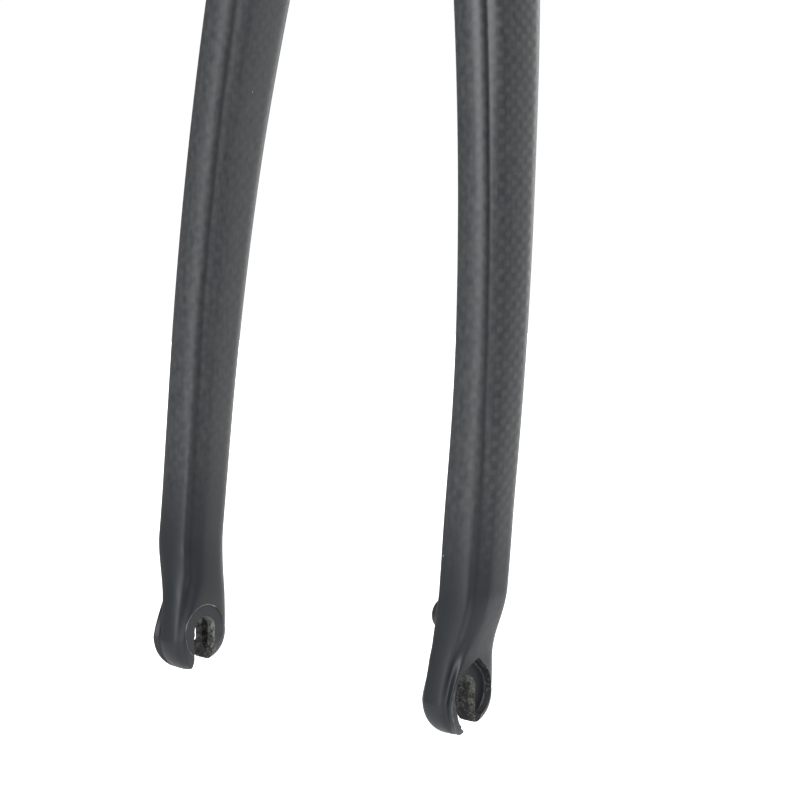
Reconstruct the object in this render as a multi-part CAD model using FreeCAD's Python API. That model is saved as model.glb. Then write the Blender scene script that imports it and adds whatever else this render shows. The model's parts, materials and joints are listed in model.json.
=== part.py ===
import FreeCAD, Part
import math
import os

# A rigid carbon mountain bike fork. X points to the rider's left, Y to the rear and Z up along the
# steerer axis; the origin is on that axis, on the shoulder that carries the lower headset race.

# Overall geometry, in millimetres like every size here
axle_to_crown = 395.0       # from the axle up to the race shoulder, along the steerer
rake = 41.0                 # how far the axle lies ahead of the steerer axis
hub_width = 100.0           # between the two hub seats
crown_drop = 29.0           # from the race shoulder down to the middle of the crown arch

# Legs
leg_spread = 117.8          # between the leg centres, low down
leg_straight = 66.0         # height above the axle where the legs start to bow inwards
leg_bow_end = 210.0         # height above the axle where they start to bend back upright
leg_bow_radius = 1080.0
leg_return_radius = 820.0   # of the bend back
leg_thickness = 16.0        # across, low down
leg_thickness_top = 23.0    # across, where the leg turns into the crown
thickening_start = 140.0    # height above the axle where the legs start to get thicker
leg_depth = 21.6            # fore and aft, low down
crown_depth = 42.0          # fore and aft, in the middle of the crown
crown_height = 30.0         # up and down, in the middle of the crown
leg_wall = 2.2
depth_growth = 1.2          # power of the taper in depth from dropout to crown
corner_across = 0.91        # where the flanks meet the round rear, in half thicknesses
corner_back = 0.62          # the same, in half depths

# The raised strip down the front of each leg and the groove on both sides of it
strip_width = 10.0
strip_camber = 2.1
groove_depth = 0.6
groove_share = 0.45         # of the way from the strip's ridge to the shoulder
shoulder_setback = 4.4      # from the front of the leg back to the shoulder, low down
shoulder_inset = 0.2        # of the shoulder, from the widest part of the leg

# Dropouts
dropout_thickness = 11.8    # from the inner face to the top of the outer lip
dropout_depth = 24.0        # fore and aft
rear_thinning = 1.0         # how much thinner the dropout is behind the lip
dropout_corner_across = 0.94
dropout_corner_back = 0.82
waist_bottom = 9.5          # height above the axle where the dropout starts to swell into the leg
waist_top = 31.0            # height where it has the leg's full thickness
heel_bottom = -2.0          # height where the section is the dropout's square one
heel_top = 20.0             # height where it is the leg's
front_nose_drop = 1.6       # from the axle down to the centre of the front lobe's round nose
rear_nose_drop = 0.3        # the same, of the shorter rear lobe
nose_ease = 0.15            # of the nose's radius over half the dropout's depth
nose_thinning = 0.45        # share of its thickness that the dropout loses at the tip of the nose
nose_outside = 0.2          # share of that loss on the outer side, where the lip runs round the nose
seat_depth = 0.4            # of the round hub seat, below the inner face
seat_rim = 3.4              # between the hub seat and the edge of the dropout
slot_width = 9.6
mouth_round = 0.6           # radius of the slot's two lower corners
blade_thickness = 8.6       # between the hub seat and the floor of the outer pocket
lip_wall = 3.0              # between the pocket and the edge of the dropout
pocket_rise = 1.9           # of the pocket's pointed top over its circle
pocket_point_back = 1.8     # how far that point lies behind the axle
lip_ridge = 3.6             # from the middle of the dropout to the end of the strip on the lip
lip_camber = 0.5
lip_setback = 0.9           # from the front of the dropout back to the lip
lip_inset = 0.3             # of the lip's edge, from the full thickness
heel_ridge_inset = 3.2      # of the strip's inner ridge, from the inner face
heel_setback = 3.0          # of the dropout's inner front edge, from its front
core_width = 2.6            # of the open channel between the two skins in the right slot's rear wall
core_depth = 2.4
core_top = 3.0              # of that channel, above the axle
core_length = 10.0          # from there down

# Threaded insert and its screw, on the inner face of the left leg
insert_height = 21.8        # above the axle
insert_flange_radius = 5.0
insert_flange = 0.9         # how far the flange stands out of the leg
insert_sink = 0.4           # how deep the flange is let into the leg
insert_radius = 3.2
insert_length = 8.0
screw_radius = 2.2
screw_length = 6.5
screw_head_radius = 4.5
screw_rim = 1.8             # height of the head's straight side
screw_crown = 1.2           # of the dome on top of it
screw_key = 3.0             # across the flats of the hexagon socket
screw_key_depth = 1.5

# Steerer and the collar on the crown that holds it
steerer_radius = 14.3
steerer_bore = 11.3
steerer_length = 265.0      # above the race shoulder
race_seat_radius = 15.0
race_seat_height = 8.0
root_radius = 16.2          # of the steerer's foot, inside the crown
socket_depth = 30.0         # of the bonded joint, below the race shoulder
collar_radius = 19.5        # of the race shoulder
collar_flare = 22.0         # of the collar where it runs into the crown
edge_break = 0.8            # chamfer on the steerer's ends

# Worked out from the sizes above
crown_centre = axle_to_crown - crown_drop
lean = rake / crown_centre
leg_x = leg_spread / 2
inner_face = hub_width / 2 - seat_depth
dropout_x = inner_face + dropout_thickness / 2
nose_radius = dropout_depth / 2 + nose_ease
nose_tip = front_nose_drop + nose_radius
seat_radius = dropout_depth / 2 - seat_rim
pocket_radius = dropout_depth / 2 - lip_wall
pocket_point = pocket_radius + pocket_rise
bow_slope = (leg_bow_end - leg_straight) / leg_bow_radius
bow_x = leg_x - (leg_bow_end - leg_straight) ** 2 / (2 * leg_bow_radius)
leg_return_end = leg_bow_end + bow_slope * leg_return_radius
pocket_floor = hub_width / 2 + blade_thickness
beyond = 40.0               # cutters and trimming tools reach this far past what they cut
overlap = 0.3               # of a tool past a face that it must clear

# How many sections carry each stretch of the moulding
dropout_steps = 13
leg_steps = 13
crown_steps = 12
cavity_steps = 9

# The crown arch is a half circle between the two upright upper legs
arch_radius = bow_x - bow_slope ** 2 * leg_return_radius / 2
arch_start = crown_centre - arch_radius


def smooth(u):
    """Ease from 0 to 1 with level ends."""
    u = min(max(u, 0.0), 1.0)
    return u * u * (3 - 2 * u)


def mix(a, b, u):
    """Value u of the way from a to b."""
    return a + (b - a) * u


def spot(x, y, height):
    """Point given from the axle's mid-point, as a point in the part's frame."""
    return FreeCAD.Vector(x, y - rake, height - axle_to_crown)


def leg_station(height):
    """Centre, tilt, thickness and depth of the left leg at a height above the axle."""
    bow = min(max(height - leg_straight, 0.0), leg_bow_end - leg_straight)
    bend = min(max(height - leg_bow_end, 0.0), leg_return_end - leg_bow_end)
    x = leg_x - bow ** 2 / (2 * leg_bow_radius) - bend * bow_slope + bend ** 2 / (2 * leg_return_radius)
    low = 1 - smooth((height - waist_bottom) / (waist_top - waist_bottom))
    heel = 1 - smooth((height - heel_bottom) / (heel_top - heel_bottom))
    rise = max(height - waist_top, 0.0)
    grown = smooth((height - thickening_start) / (arch_start - thickening_start))
    thickness = mix(leg_thickness, leg_thickness_top, grown)
    deepened = (rise / (crown_centre - waist_top)) ** depth_growth
    below = max(-height - rear_nose_drop, 0.0) / (nose_tip - rear_nose_drop)
    thinned = dropout_thickness * nose_thinning * below ** 2
    thickness = mix(thickness, dropout_thickness - thinned, low)
    return {
        "x": mix(x, dropout_x + thinned * (0.5 - nose_outside), low),
        "height": height,
        "tilt": math.atan(bow / leg_bow_radius - bend / leg_return_radius),
        "half": thickness / 2,
        "deep": mix(mix(leg_depth, crown_depth, deepened), dropout_depth, heel) / 2,
        "heel": heel,
        "high": 0.0,
    }


def crown_station(turn):
    """The same, on the crown arch: turn goes from 0 at the leg to 1 in the middle."""
    angle = math.pi / 2 * turn
    top = leg_station(arch_start)
    return {
        "x": arch_radius * math.cos(angle),
        "height": arch_start + arch_radius * math.sin(angle),
        "tilt": angle,
        "half": mix(leg_thickness_top, crown_height, smooth(turn)) / 2,
        "deep": mix(top["deep"], crown_depth / 2, turn),
        "heel": 0.0,
        "high": smooth(turn),
    }


def section_point(station, across, back):
    """Point of a section, from its centre: across is outboard, back is towards the rear."""
    x = station["x"] + across * math.cos(station["tilt"])
    height = station["height"] + across * math.sin(station["tilt"])
    return spot(x, lean * station["height"] + back, height)


def side_points(station, side):
    """Points on one side of a section, from the strip's ridge to the rear corner: 1 is outboard, -1 inboard."""
    half, deep, heel = station["half"], station["deep"], station["heel"]
    outboard = side > 0
    ridge = mix(strip_width / 2, lip_ridge if outboard else half - heel_ridge_inset, heel)
    camber = mix(strip_camber, lip_camber, heel)
    shoulder = half - mix(shoulder_inset, lip_inset if outboard else 0.0, heel)
    leg_setback = shoulder_setback * deep / (leg_depth / 2)
    setback = mix(leg_setback, lip_setback if outboard else heel_setback, heel)
    step_across = (shoulder - ridge) * groove_share
    step_back = (setback - camber) * groove_share
    groove = groove_depth * (1 - station["high"]) * (1 if outboard else 1 - heel)
    sink = groove / math.hypot(step_across, step_back)
    thinner = half - rear_thinning * heel if outboard else half
    points = [
        (ridge, camber - deep),
        (ridge + step_across / 2 - sink * step_back, camber + step_back / 2 + sink * step_across - deep),
        (ridge + step_across, camber + step_back - deep),
        (shoulder, setback - deep),
        ((half + thinner) / 2, 0.0),
        (thinner * mix(corner_across, dropout_corner_across, heel), deep * mix(corner_back, dropout_corner_back, heel)),
    ]
    return [section_point(station, side * across, back) for across, back in points]


def line(a, b):
    return Part.LineSegment(a, b).toShape()


def arc(a, b, c):
    return Part.Arc(a, b, c).toShape()


def section_wire(station):
    """Closed outline of the leg or crown at one station: strip, grooves, bands, flanks and round rear."""
    left = side_points(station, 1)
    right = side_points(station, -1)
    front = section_point(station, 0.0, -station["deep"])
    rear = section_point(station, 0.0, station["deep"])
    edges = [arc(right[0], front, left[0])]
    edges += [line(a, b) for a, b in zip(left[0:3], left[1:4])]
    edges += [arc(*left[3:6]), arc(left[5], rear, right[5]), arc(*reversed(right[3:6]))]
    edges += [line(b, a) for a, b in zip(right[2::-1], right[3:0:-1])]
    return Part.Wire(edges)


def spread(first, last, count):
    """Evenly spaced values, both ends included."""
    return [mix(first, last, i / (count - 1)) for i in range(count)]


def half_fork():
    """Left leg and the left half of the crown, one loft from below the dropout to the middle."""
    heights = spread(-nose_tip - overlap, waist_top, dropout_steps)
    heights += spread(waist_top, arch_start, leg_steps)[1:]
    stations = [leg_station(h) for h in heights]
    stations += [crown_station(turn) for turn in spread(0.0, 1.0, crown_steps)[1:]]
    return Part.makeLoft([section_wire(s) for s in stations], True, True)


def cavity():
    """Hollow inside of the left leg: an elliptic bore that follows the leg, a wall inside it."""
    wires = []
    for height in spread(waist_top, arch_start, cavity_steps):
        station = leg_station(height)
        centre = section_point(station, 0.0, 0.0)
        rear = section_point(station, 0.0, station["deep"] - leg_wall)
        side = section_point(station, station["half"] - leg_wall, 0.0)
        wires.append(Part.Wire([Part.Ellipse(rear, side, centre).toShape()]))
    return Part.makeLoft(wires, True, True)


def prism(edges, x_from, x_to):
    """Solid between two planes across the fork, from a closed outline at x_from."""
    return Part.Face(Part.Wire(edges)).extrude(FreeCAD.Vector(x_to - x_from, 0, 0))


def disc(x_from, x_to, height, back, radius):
    """Round bar across the fork, at a height above the axle and a distance behind it."""
    axis = FreeCAD.Vector(math.copysign(1, x_to - x_from), 0, 0)
    return Part.makeCylinder(radius, abs(x_to - x_from), spot(x_from, back, height), axis)


def nose_trim():
    """What is cut away round the two lobes of the left dropout."""
    x = inner_face - beyond
    trims = []
    for side, drop in ((-1, front_nose_drop), (1, rear_nose_drop)):
        middle = -lean * drop
        edge = middle + side * nose_radius
        bend = nose_radius * math.sqrt(0.5)
        corners = [
            spot(x, edge, -drop),
            spot(x, side * beyond, -drop),
            spot(x, side * beyond, -beyond),
            spot(x, middle, -beyond),
            spot(x, middle, -drop - nose_radius),
        ]
        edges = [line(a, b) for a, b in zip(corners, corners[1:])]
        edges.append(arc(corners[-1], spot(x, middle + side * bend, -drop - bend), corners[0]))
        trims.append(prism(edges, x, x + 2 * beyond))
    return trims


def axle_slot():
    """Open slot for the axle: a round top on the axle's centre, straight sides and rounded lower corners."""
    x = inner_face - beyond
    half_slot = slot_width / 2
    half_mouth = half_slot + mouth_round
    inset = mouth_round * (1 - math.sqrt(0.5))
    sides = []
    for side, drop in ((-1, front_nose_drop), (1, rear_nose_drop)):
        mouth = -drop - math.sqrt(nose_radius ** 2 - half_mouth ** 2)
        wall = spot(x, side * half_slot, mouth + mouth_round)
        corner = spot(x, side * half_mouth, mouth)
        middle = spot(x, side * (half_slot + inset), mouth + inset)
        sides.append([
            line(spot(x, side * half_slot, 0.0), wall),
            arc(wall, middle, corner),
            line(corner, spot(x, side * half_mouth, -beyond)),
        ])
    top = arc(spot(x, -half_slot, 0.0), spot(x, 0.0, half_slot), spot(x, half_slot, 0.0))
    foot = line(spot(x, half_mouth, -beyond), spot(x, -half_mouth, -beyond))
    return prism([top] + sides[1] + [foot] + sides[0][::-1], x, x + 2 * beyond)


def slot_core():
    """Channel in the slot's rear wall, between the inner and outer skins of the rear lobe."""
    x = hub_width / 2 + (blade_thickness - core_width) / 2
    reach = slot_width / 2 + core_depth
    return Part.makeBox(core_width, reach, core_length, spot(x, 0.0, core_top - core_length))


def lip_pocket():
    """Teardrop seat behind the outer lip: a circle round the axle with a pointed top."""
    x = pocket_floor
    aim = math.atan2(pocket_point_back, pocket_point)
    turn = math.acos(pocket_radius / math.hypot(pocket_point_back, pocket_point))
    point = spot(x, pocket_point_back, pocket_point)
    front = spot(x, pocket_radius * math.sin(aim - turn), pocket_radius * math.cos(aim - turn))
    rear = spot(x, pocket_radius * math.sin(aim + turn), pocket_radius * math.cos(aim + turn))
    edges = [
        arc(front, spot(x, 0.0, -pocket_radius), rear),
        line(rear, point),
        line(point, front),
    ]
    return prism(edges, x, x + beyond)


def insert_seat():
    """Plane across the fork on which the insert's flange lies, just below the leg's inner face."""
    station = leg_station(insert_height)
    return station["x"] - station["half"] + insert_sink


def insert_face():
    """Plane of the flange's free face, which the screw's head lies on."""
    return insert_seat() - insert_sink - insert_flange


def collar():
    """Conical collar on top of the crown, up to the race shoulder."""
    foot = -crown_drop
    return Part.makeCone(collar_flare, collar_radius, -foot, FreeCAD.Vector(0, 0, foot))


def mirrored(shape):
    """The same on the rider's right."""
    return shape.mirror(FreeCAD.Vector(0, 0, 0), FreeCAD.Vector(1, 0, 0))


def fork_moulding():
    """Crown, legs and dropouts: one hollow moulding."""
    leg = half_fork()
    trims = nose_trim() + [axle_slot(), lip_pocket(), cavity()]
    trims.append(disc(inner_face - beyond, hub_width / 2, 0.0, 0.0, seat_radius))
    leg = leg.cut(trims)
    body = leg.fuse([mirrored(leg), collar()])
    back = lean * insert_height
    seat = insert_seat()
    socket = Part.makeCylinder(root_radius, socket_depth, FreeCAD.Vector(0, 0, -socket_depth))
    room = disc(seat, seat - beyond, insert_height, back, insert_flange_radius)
    hole = disc(seat, seat + insert_length, insert_height, back, insert_radius)
    return body.cut([socket, room, hole, mirrored(slot_core())]).removeSplitter()


def turned_on_insert(edges):
    """Solid of revolution about the insert's axis, from a closed outline above that axis."""
    face = Part.Face(Part.Wire(edges))
    return face.revolve(spot(0, lean * insert_height, insert_height), FreeCAD.Vector(1, 0, 0), 360)


def insert_point(x, radius):
    """Point at a distance above the insert's axis."""
    return spot(x, lean * insert_height, insert_height + radius)


def guide_insert():
    """Threaded insert: a flange on the leg's inner face and a barrel in the leg, closed behind."""
    seat = insert_seat()
    face = insert_face()
    outline = [
        insert_point(face, screw_radius),
        insert_point(face, insert_flange_radius),
        insert_point(seat, insert_flange_radius),
        insert_point(seat, insert_radius),
        insert_point(seat + insert_length, insert_radius),
        insert_point(seat + insert_length, 0.0),
        insert_point(face + screw_length, 0.0),
        insert_point(face + screw_length, screw_radius),
    ]
    return turned_on_insert([line(a, b) for a, b in zip(outline, outline[1:] + outline[:1])])


def guide_bolt():
    """Screw in the insert: a low domed head with a hexagon socket, and a plain shank."""
    face = insert_face()
    rim = face - screw_rim
    top = rim - screw_crown
    dome = (screw_head_radius ** 2 + screw_crown ** 2) / (2 * screw_crown)
    half_way = screw_head_radius / 2
    crest = insert_point(top + dome - math.sqrt(dome ** 2 - half_way ** 2), half_way)
    outline = [
        insert_point(rim, screw_head_radius),
        insert_point(face, screw_head_radius),
        insert_point(face, screw_radius),
        insert_point(face + screw_length, screw_radius),
        insert_point(face + screw_length, 0.0),
        insert_point(top, 0.0),
    ]
    edges = [line(a, b) for a, b in zip(outline, outline[1:])]
    edges.append(arc(outline[-1], crest, outline[0]))
    corner = screw_key / math.sqrt(3)
    back = lean * insert_height
    ring = []
    for k in range(7):
        turn = math.radians(60 * k)
        ring.append(spot(top, back + corner * math.cos(turn), insert_height + corner * math.sin(turn)))
    key = prism([line(a, b) for a, b in zip(ring, ring[1:])], top, top + screw_key_depth)
    return turned_on_insert(edges).cut(key)


def steerer_tube():
    """Steerer: a tube with the race seat turned on its foot, bonded into the crown's socket."""
    rings = [
        (steerer_bore, -socket_depth),
        (root_radius, -socket_depth),
        (root_radius, 0.0),
        (race_seat_radius, 0.0),
        (race_seat_radius, race_seat_height),
        (steerer_radius, race_seat_height + race_seat_radius - steerer_radius),
        (steerer_radius, steerer_length - edge_break),
        (steerer_radius - edge_break, steerer_length),
        (steerer_bore + edge_break, steerer_length),
        (steerer_bore, steerer_length - edge_break),
    ]
    outline = [FreeCAD.Vector(radius, 0, z) for radius, z in rings]
    face = Part.Face(Part.makePolygon(outline + outline[:1]))
    return face.revolve(FreeCAD.Vector(0, 0, 0), FreeCAD.Vector(0, 0, 1), 360)


nodes = {
    "fork_moulding": fork_moulding(),
    "steerer_tube": steerer_tube(),
    "guide_insert": guide_insert(),
    "guide_bolt": guide_bolt(),
}
os.makedirs("parts", exist_ok=True)
for name, shape in nodes.items():
    print(name, "valid", shape.isValid(), "solids", len(shape.Solids), "cm3", round(shape.Volume / 1000, 2))
    shape.exportStep("parts/" + name + ".step")
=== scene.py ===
# %% [markdown]
# A rigid mountain bike fork, moulded in carbon. The imported CAD model gives the frame, and most sizes below repeat
# its driving sizes, so the skin lies on the solid. The lip, the strip and its grooves, the upper legs and the
# noses follow the photo a little further, by about a millimetre. The looks are made here: soft creases, a woven
# skin that fades into plain satin low down, painted shade in the grooves, and raw edges round the axle slots,
# rubbed in places and lined with painted highlights.

# %% Load the frame
import bmesh
import bpy
import json
import numpy as np
from mathutils import Matrix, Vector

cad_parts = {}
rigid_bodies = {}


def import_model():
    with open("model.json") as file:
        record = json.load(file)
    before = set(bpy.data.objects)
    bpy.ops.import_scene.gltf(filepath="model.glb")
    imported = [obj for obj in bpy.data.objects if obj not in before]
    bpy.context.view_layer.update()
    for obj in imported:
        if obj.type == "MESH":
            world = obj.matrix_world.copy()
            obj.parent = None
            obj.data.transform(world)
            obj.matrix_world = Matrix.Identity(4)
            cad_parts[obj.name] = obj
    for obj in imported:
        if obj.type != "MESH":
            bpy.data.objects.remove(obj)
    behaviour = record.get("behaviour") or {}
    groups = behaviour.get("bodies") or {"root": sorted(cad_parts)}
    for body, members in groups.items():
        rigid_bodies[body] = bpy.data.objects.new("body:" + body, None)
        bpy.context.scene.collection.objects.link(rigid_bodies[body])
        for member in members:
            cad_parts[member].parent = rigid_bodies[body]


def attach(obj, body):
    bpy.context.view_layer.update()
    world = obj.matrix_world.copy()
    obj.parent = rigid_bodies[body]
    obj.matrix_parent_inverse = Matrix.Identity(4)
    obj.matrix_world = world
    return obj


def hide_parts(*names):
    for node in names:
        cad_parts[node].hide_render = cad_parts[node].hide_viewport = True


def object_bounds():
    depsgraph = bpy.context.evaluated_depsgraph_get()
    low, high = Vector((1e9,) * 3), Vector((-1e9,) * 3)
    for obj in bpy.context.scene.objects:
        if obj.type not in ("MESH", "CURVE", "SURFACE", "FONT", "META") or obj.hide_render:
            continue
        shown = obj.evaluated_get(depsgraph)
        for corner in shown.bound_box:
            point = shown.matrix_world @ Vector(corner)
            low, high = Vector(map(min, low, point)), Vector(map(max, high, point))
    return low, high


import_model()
cad_box = [list(map(float, corner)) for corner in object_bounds()]
print("CAD box in metres:", cad_box)

# %% [markdown]
# Sizes are in millimetres, measured from the middle of the axle: x to the rider's left, y to the
# rear and h upwards. One function turns them into the frame's metres, whose origin is on the steerer axis
# at the shoulder for the headset race.

# %% Sizes and the shared frame
axle_to_crown, rake, crown_drop = 395.0, 41.0, 29.0
crown_centre = axle_to_crown - crown_drop
lean = rake / crown_centre
leg_x, leg_straight, leg_bow_end, leg_bow_radius, leg_return_radius = 58.9, 66.0, 210.0, 1080.0, 820.0
leg_thickness, leg_thickness_top, leg_depth, thickening_start = 16.0, 23.0, 21.6, 140.0
crown_depth, crown_height, depth_growth = 42.0, 30.0, 1.2
dropout_thickness, dropout_depth = 11.8, 24.0
inner_face, hub_seat, pocket_floor = 49.6, 50.0, 58.6
dropout_x = inner_face + dropout_thickness / 2
waist_bottom, waist_top, heel_bottom, heel_top = 9.5, 31.0, -2.0, 20.0
front_nose_drop, rear_nose_drop, nose_radius, rear_nose_radius = 1.05, 0.3, 12.15, 10.4
slot_width, pocket_radius, seat_radius = 9.6, 9.0, 8.6


def stacked(*values):
    """Arrays spread over one another and stacked as the coordinates of points."""
    return np.stack(np.broadcast_arrays(*values), axis=-1)


def to_frame(x, y, h):
    """Points given from the axle in millimetres, as points of the frame in metres."""
    return stacked(x, y - rake, h - axle_to_crown) / 1000


def full_turn(count):
    """Directions, evenly spaced all the way round, in one row."""
    return np.linspace(0.0, 2 * np.pi, count, endpoint=False)[None, :]


def smooth(u):
    """Ease from 0 to 1 with level ends: three squares less two cubes."""
    u = np.clip(u, 0.0, 1.0)
    return u * u * (3 - 2 * u)


def mix(a, b, u):
    """Value u of the way from a to b."""
    return a + (b - a) * u


def fade(h, start, end):
    """1 up to the height start, eased to 0 at the height end."""
    return 1 - smooth((h - start) / (end - start))


def between(h, start, full, leave, end):
    """1 between the heights full and leave, eased to 0 at start and end."""
    return smooth((h - start) / (full - start)) * fade(h, leave, end)


def soften(values, passes):
    """Each column averaged with its two neighbours, one part, two parts and one part, a number of times."""
    for _ in range(passes):
        values = (np.roll(values, 1, 1) + 2 * values + np.roll(values, -1, 1)) / 4
    return values


bow_height = leg_bow_end - leg_straight
bow_slope = bow_height / leg_bow_radius
bow_x = leg_x - bow_height ** 2 / (2 * leg_bow_radius)
leg_return_end = leg_bow_end + bow_slope * leg_return_radius
arch_radius = bow_x - bow_slope ** 2 * leg_return_radius / 2
arch_start = crown_centre - arch_radius
print(f"the crown's arch: radius {arch_radius:.2f} mm, from height {arch_start:.2f} mm")

# %% [markdown]
# On the real fork one skin of cloth runs from one dropout up through the crown and down to the other. So
# the body is one tube of sections. A subdivision cage could give the same form, but here every section
# follows from a handful of sizes, so a grid of rows along the leg and columns round it is plainer.
# Each row first gets its centre, tilt, thickness and depth.

# %% Rows along the left half of the fork
lip_fuller, lip_full_below, lip_gone_above = 1.2, 12.0, 29.0
upper_swell, swell_heights = 0.5, (140.0, 200.0, 230.0, 300.0)
outer_inset, nose_thinning = 0.02, 0.45


def leg_rows(h):
    """Leg rows: the centre bows inwards on a parabola and back upright on another, the thickness eases from
    the dropout's to the leg's and on to the crown's, and the depth grows with a power of the height. The lip
    makes the outer half fuller low down, and both halves swell a little in the upper leg."""
    bow = np.clip(h - leg_straight, 0.0, bow_height)
    bend = np.clip(h - leg_bow_end, 0.0, leg_return_end - leg_bow_end)
    x = leg_x - bow ** 2 / (2 * leg_bow_radius) - bend * bow_slope + bend ** 2 / (2 * leg_return_radius)
    low, heel = fade(h, waist_bottom, waist_top), fade(h, heel_bottom, heel_top)
    grown = smooth((h - thickening_start) / (arch_start - thickening_start))
    half = mix(mix(leg_thickness, leg_thickness_top, grown), dropout_thickness, low) / 2
    deepened = (np.maximum(h - waist_top, 0.0) / (crown_centre - waist_top)) ** depth_growth
    deep = mix(mix(leg_depth, crown_depth, deepened), dropout_depth, heel) / 2
    fuller = lip_fuller * fade(h, lip_full_below, lip_gone_above)
    swell = upper_swell * between(h, *swell_heights)
    tilt = np.arctan(bow / leg_bow_radius - bend / leg_return_radius)
    none = np.zeros_like(h)
    return dict(x=mix(x, dropout_x, low), h=h, tilt=tilt, half_out=half - outer_inset + fuller + swell,
                half_in=half + swell, deep=deep, heel=heel, high=none, curl=none)


def crown_rows(turn):
    """Crown rows: the centre runs round an arc, the section turns with it and grows to the middle's size."""
    top = leg_rows(np.array([arch_start]))
    angle = np.pi / 2 * turn
    half = mix(leg_thickness_top, crown_height, smooth(turn)) / 2
    none = np.zeros_like(turn)
    return dict(x=arch_radius * np.cos(angle), h=arch_start + arch_radius * np.sin(angle), tilt=angle,
                half_out=half, half_in=half, deep=mix(top["deep"], crown_depth / 2, turn), heel=none,
                high=smooth(turn), curl=none)


def nose_rows(curl):
    """Rows that close the dropout's round end: the depth shrinks with the cosine of the curl while the row
    sinks with its sine, and the thickness goes with a cube."""
    base = leg_rows(np.full_like(curl, -rear_nose_drop))
    lost = dropout_thickness * nose_thinning * np.sin(curl) ** 3
    base.update(half_out=base["half_out"] - 0.5 * lost, half_in=base["half_in"] - 0.5 * lost, curl=curl)
    return base


nose = nose_rows(np.radians(np.linspace(84.0, 3.0, 22)))
dropout = leg_rows(np.linspace(-rear_nose_drop, waist_top + 4, 56))
leg = leg_rows(np.linspace(waist_top + 7, arch_start - 3, 100))
crown = crown_rows(np.linspace(0.0, 1.0, 26))
rows = {key: np.concatenate([part[key] for part in (nose, dropout, leg, crown)]) for key in nose}
print("rows from the left dropout to mid-crown:", len(rows["h"]))

# %% [markdown]
# Every section has the same run of features from its front centre to its rear centre: the raised strip, the
# groove beside it, a narrow band, the flank and the round rear. The leg's two sides differ in how wide and deep
# these are at each height, so each side has a function that lists its form, in millimetres or as shares.

# %% Form of the two sides
strip_half, strip_rise, groove_sink, low_fade = 5.6, 2.3, 0.5, (40.0, 100.0)


def shoulder_setback(deep, height, least, over):
    """Shoulder's distance behind the strip: a share of the depth, and an extra that eases to its least."""
    return 4.4 * deep / (leg_depth / 2) + mix(3.2, least, smooth((height - low_fade[0]) / over))


def outboard_form(half, deep, heel, height):
    """Outer side: at the heel the strip narrows into the raised lip, and the groove is at its deepest."""
    low, upper = fade(height, *low_fade), smooth((height - 70.0) / 110.0)
    lip, thinner, groove_share = fade(height, heel_bottom, 23.0), half - heel, mix(0.45, 0.85, low)
    return dict(
        ridge=mix(strip_half + 0.5 * between(height, -4.0, 4.0, 45.0, 80.0), 3.0, heel),
        camber=mix(strip_rise - 0.7 * between(height, -4.0, 6.0, 24.0, 50.0), 0.5, heel),
        setback=mix(shoulder_setback(deep, height, 0.2, 140.0), 0.9, lip),
        shoulder=half - mix(0.2, 0.3, heel), thinner=thinner, corner=thinner * mix(0.91, 0.94, heel),
        corner_back=deep * mix(0.62, 0.82, heel) + 0.7 * between(height, 15.0, 25.0, 36.0, 60.0),
        sink=groove_sink + 0.55 * low + 0.25 * upper + 0.5 * heel,
        groove_across=groove_share - 0.1 * upper, groove_back=groove_share + 0.1 * upper,
        skew=mix(mix(1.0, 0.6, low), 1.0, heel))


def inboard_form(half, deep, heel, height):
    """Inner side: at the heel the strip spreads until it meets the flat face for the hub, and the groove ends."""
    low = fade(height, *low_fade)
    wider, narrower = between(height, 18.0, 27.0, 45.0, 110.0), 1.1 * between(height, 0.0, 8.0, 13.0, 20.0)
    groove_share = mix(0.55, 0.8, low)
    return dict(
        ridge=mix(strip_half + wider - narrower, half - 2.4, heel),
        camber=mix(strip_rise - 0.6 * between(height, 18.0, 26.0, 45.0, 90.0), 0.5, heel),
        setback=mix(shoulder_setback(deep, height, 0.8, 220.0), 2.7, heel),
        shoulder=half - 0.2 * (1 - heel), thinner=half, corner=half * 0.94,
        corner_back=deep * mix(0.65, 0.82, heel), sink=(groove_sink + 0.3 * low) * (1 - heel),
        groove_across=groove_share, groove_back=groove_share, skew=mix(0.85, 0.6, low))


# %% [markdown]
# A fixed number of columns for each feature keeps the groove on the same columns all the way up, and so crisp.
# Laminate can't take a sharp crease, so the outline is then softened a little.

# %% One side of every section
columns = dict(strip=12, groove=12, band=6, flank=26, rear=14)
soft_passes = 10


def arc_to_middle(edge, sagitta, t):
    """Arc whose middle is level: edge times the sine over the sine at the edge, and the height lost from the
    middle. t runs from 1 at the edge to 0 in the middle."""
    radius = (edge ** 2 + sagitta ** 2) / (2 * sagitta)
    angle = np.arcsin(np.clip(edge / radius, 0.0, 1.0)) * t
    return radius * np.sin(angle), radius * (1 - np.cos(angle))


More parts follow.
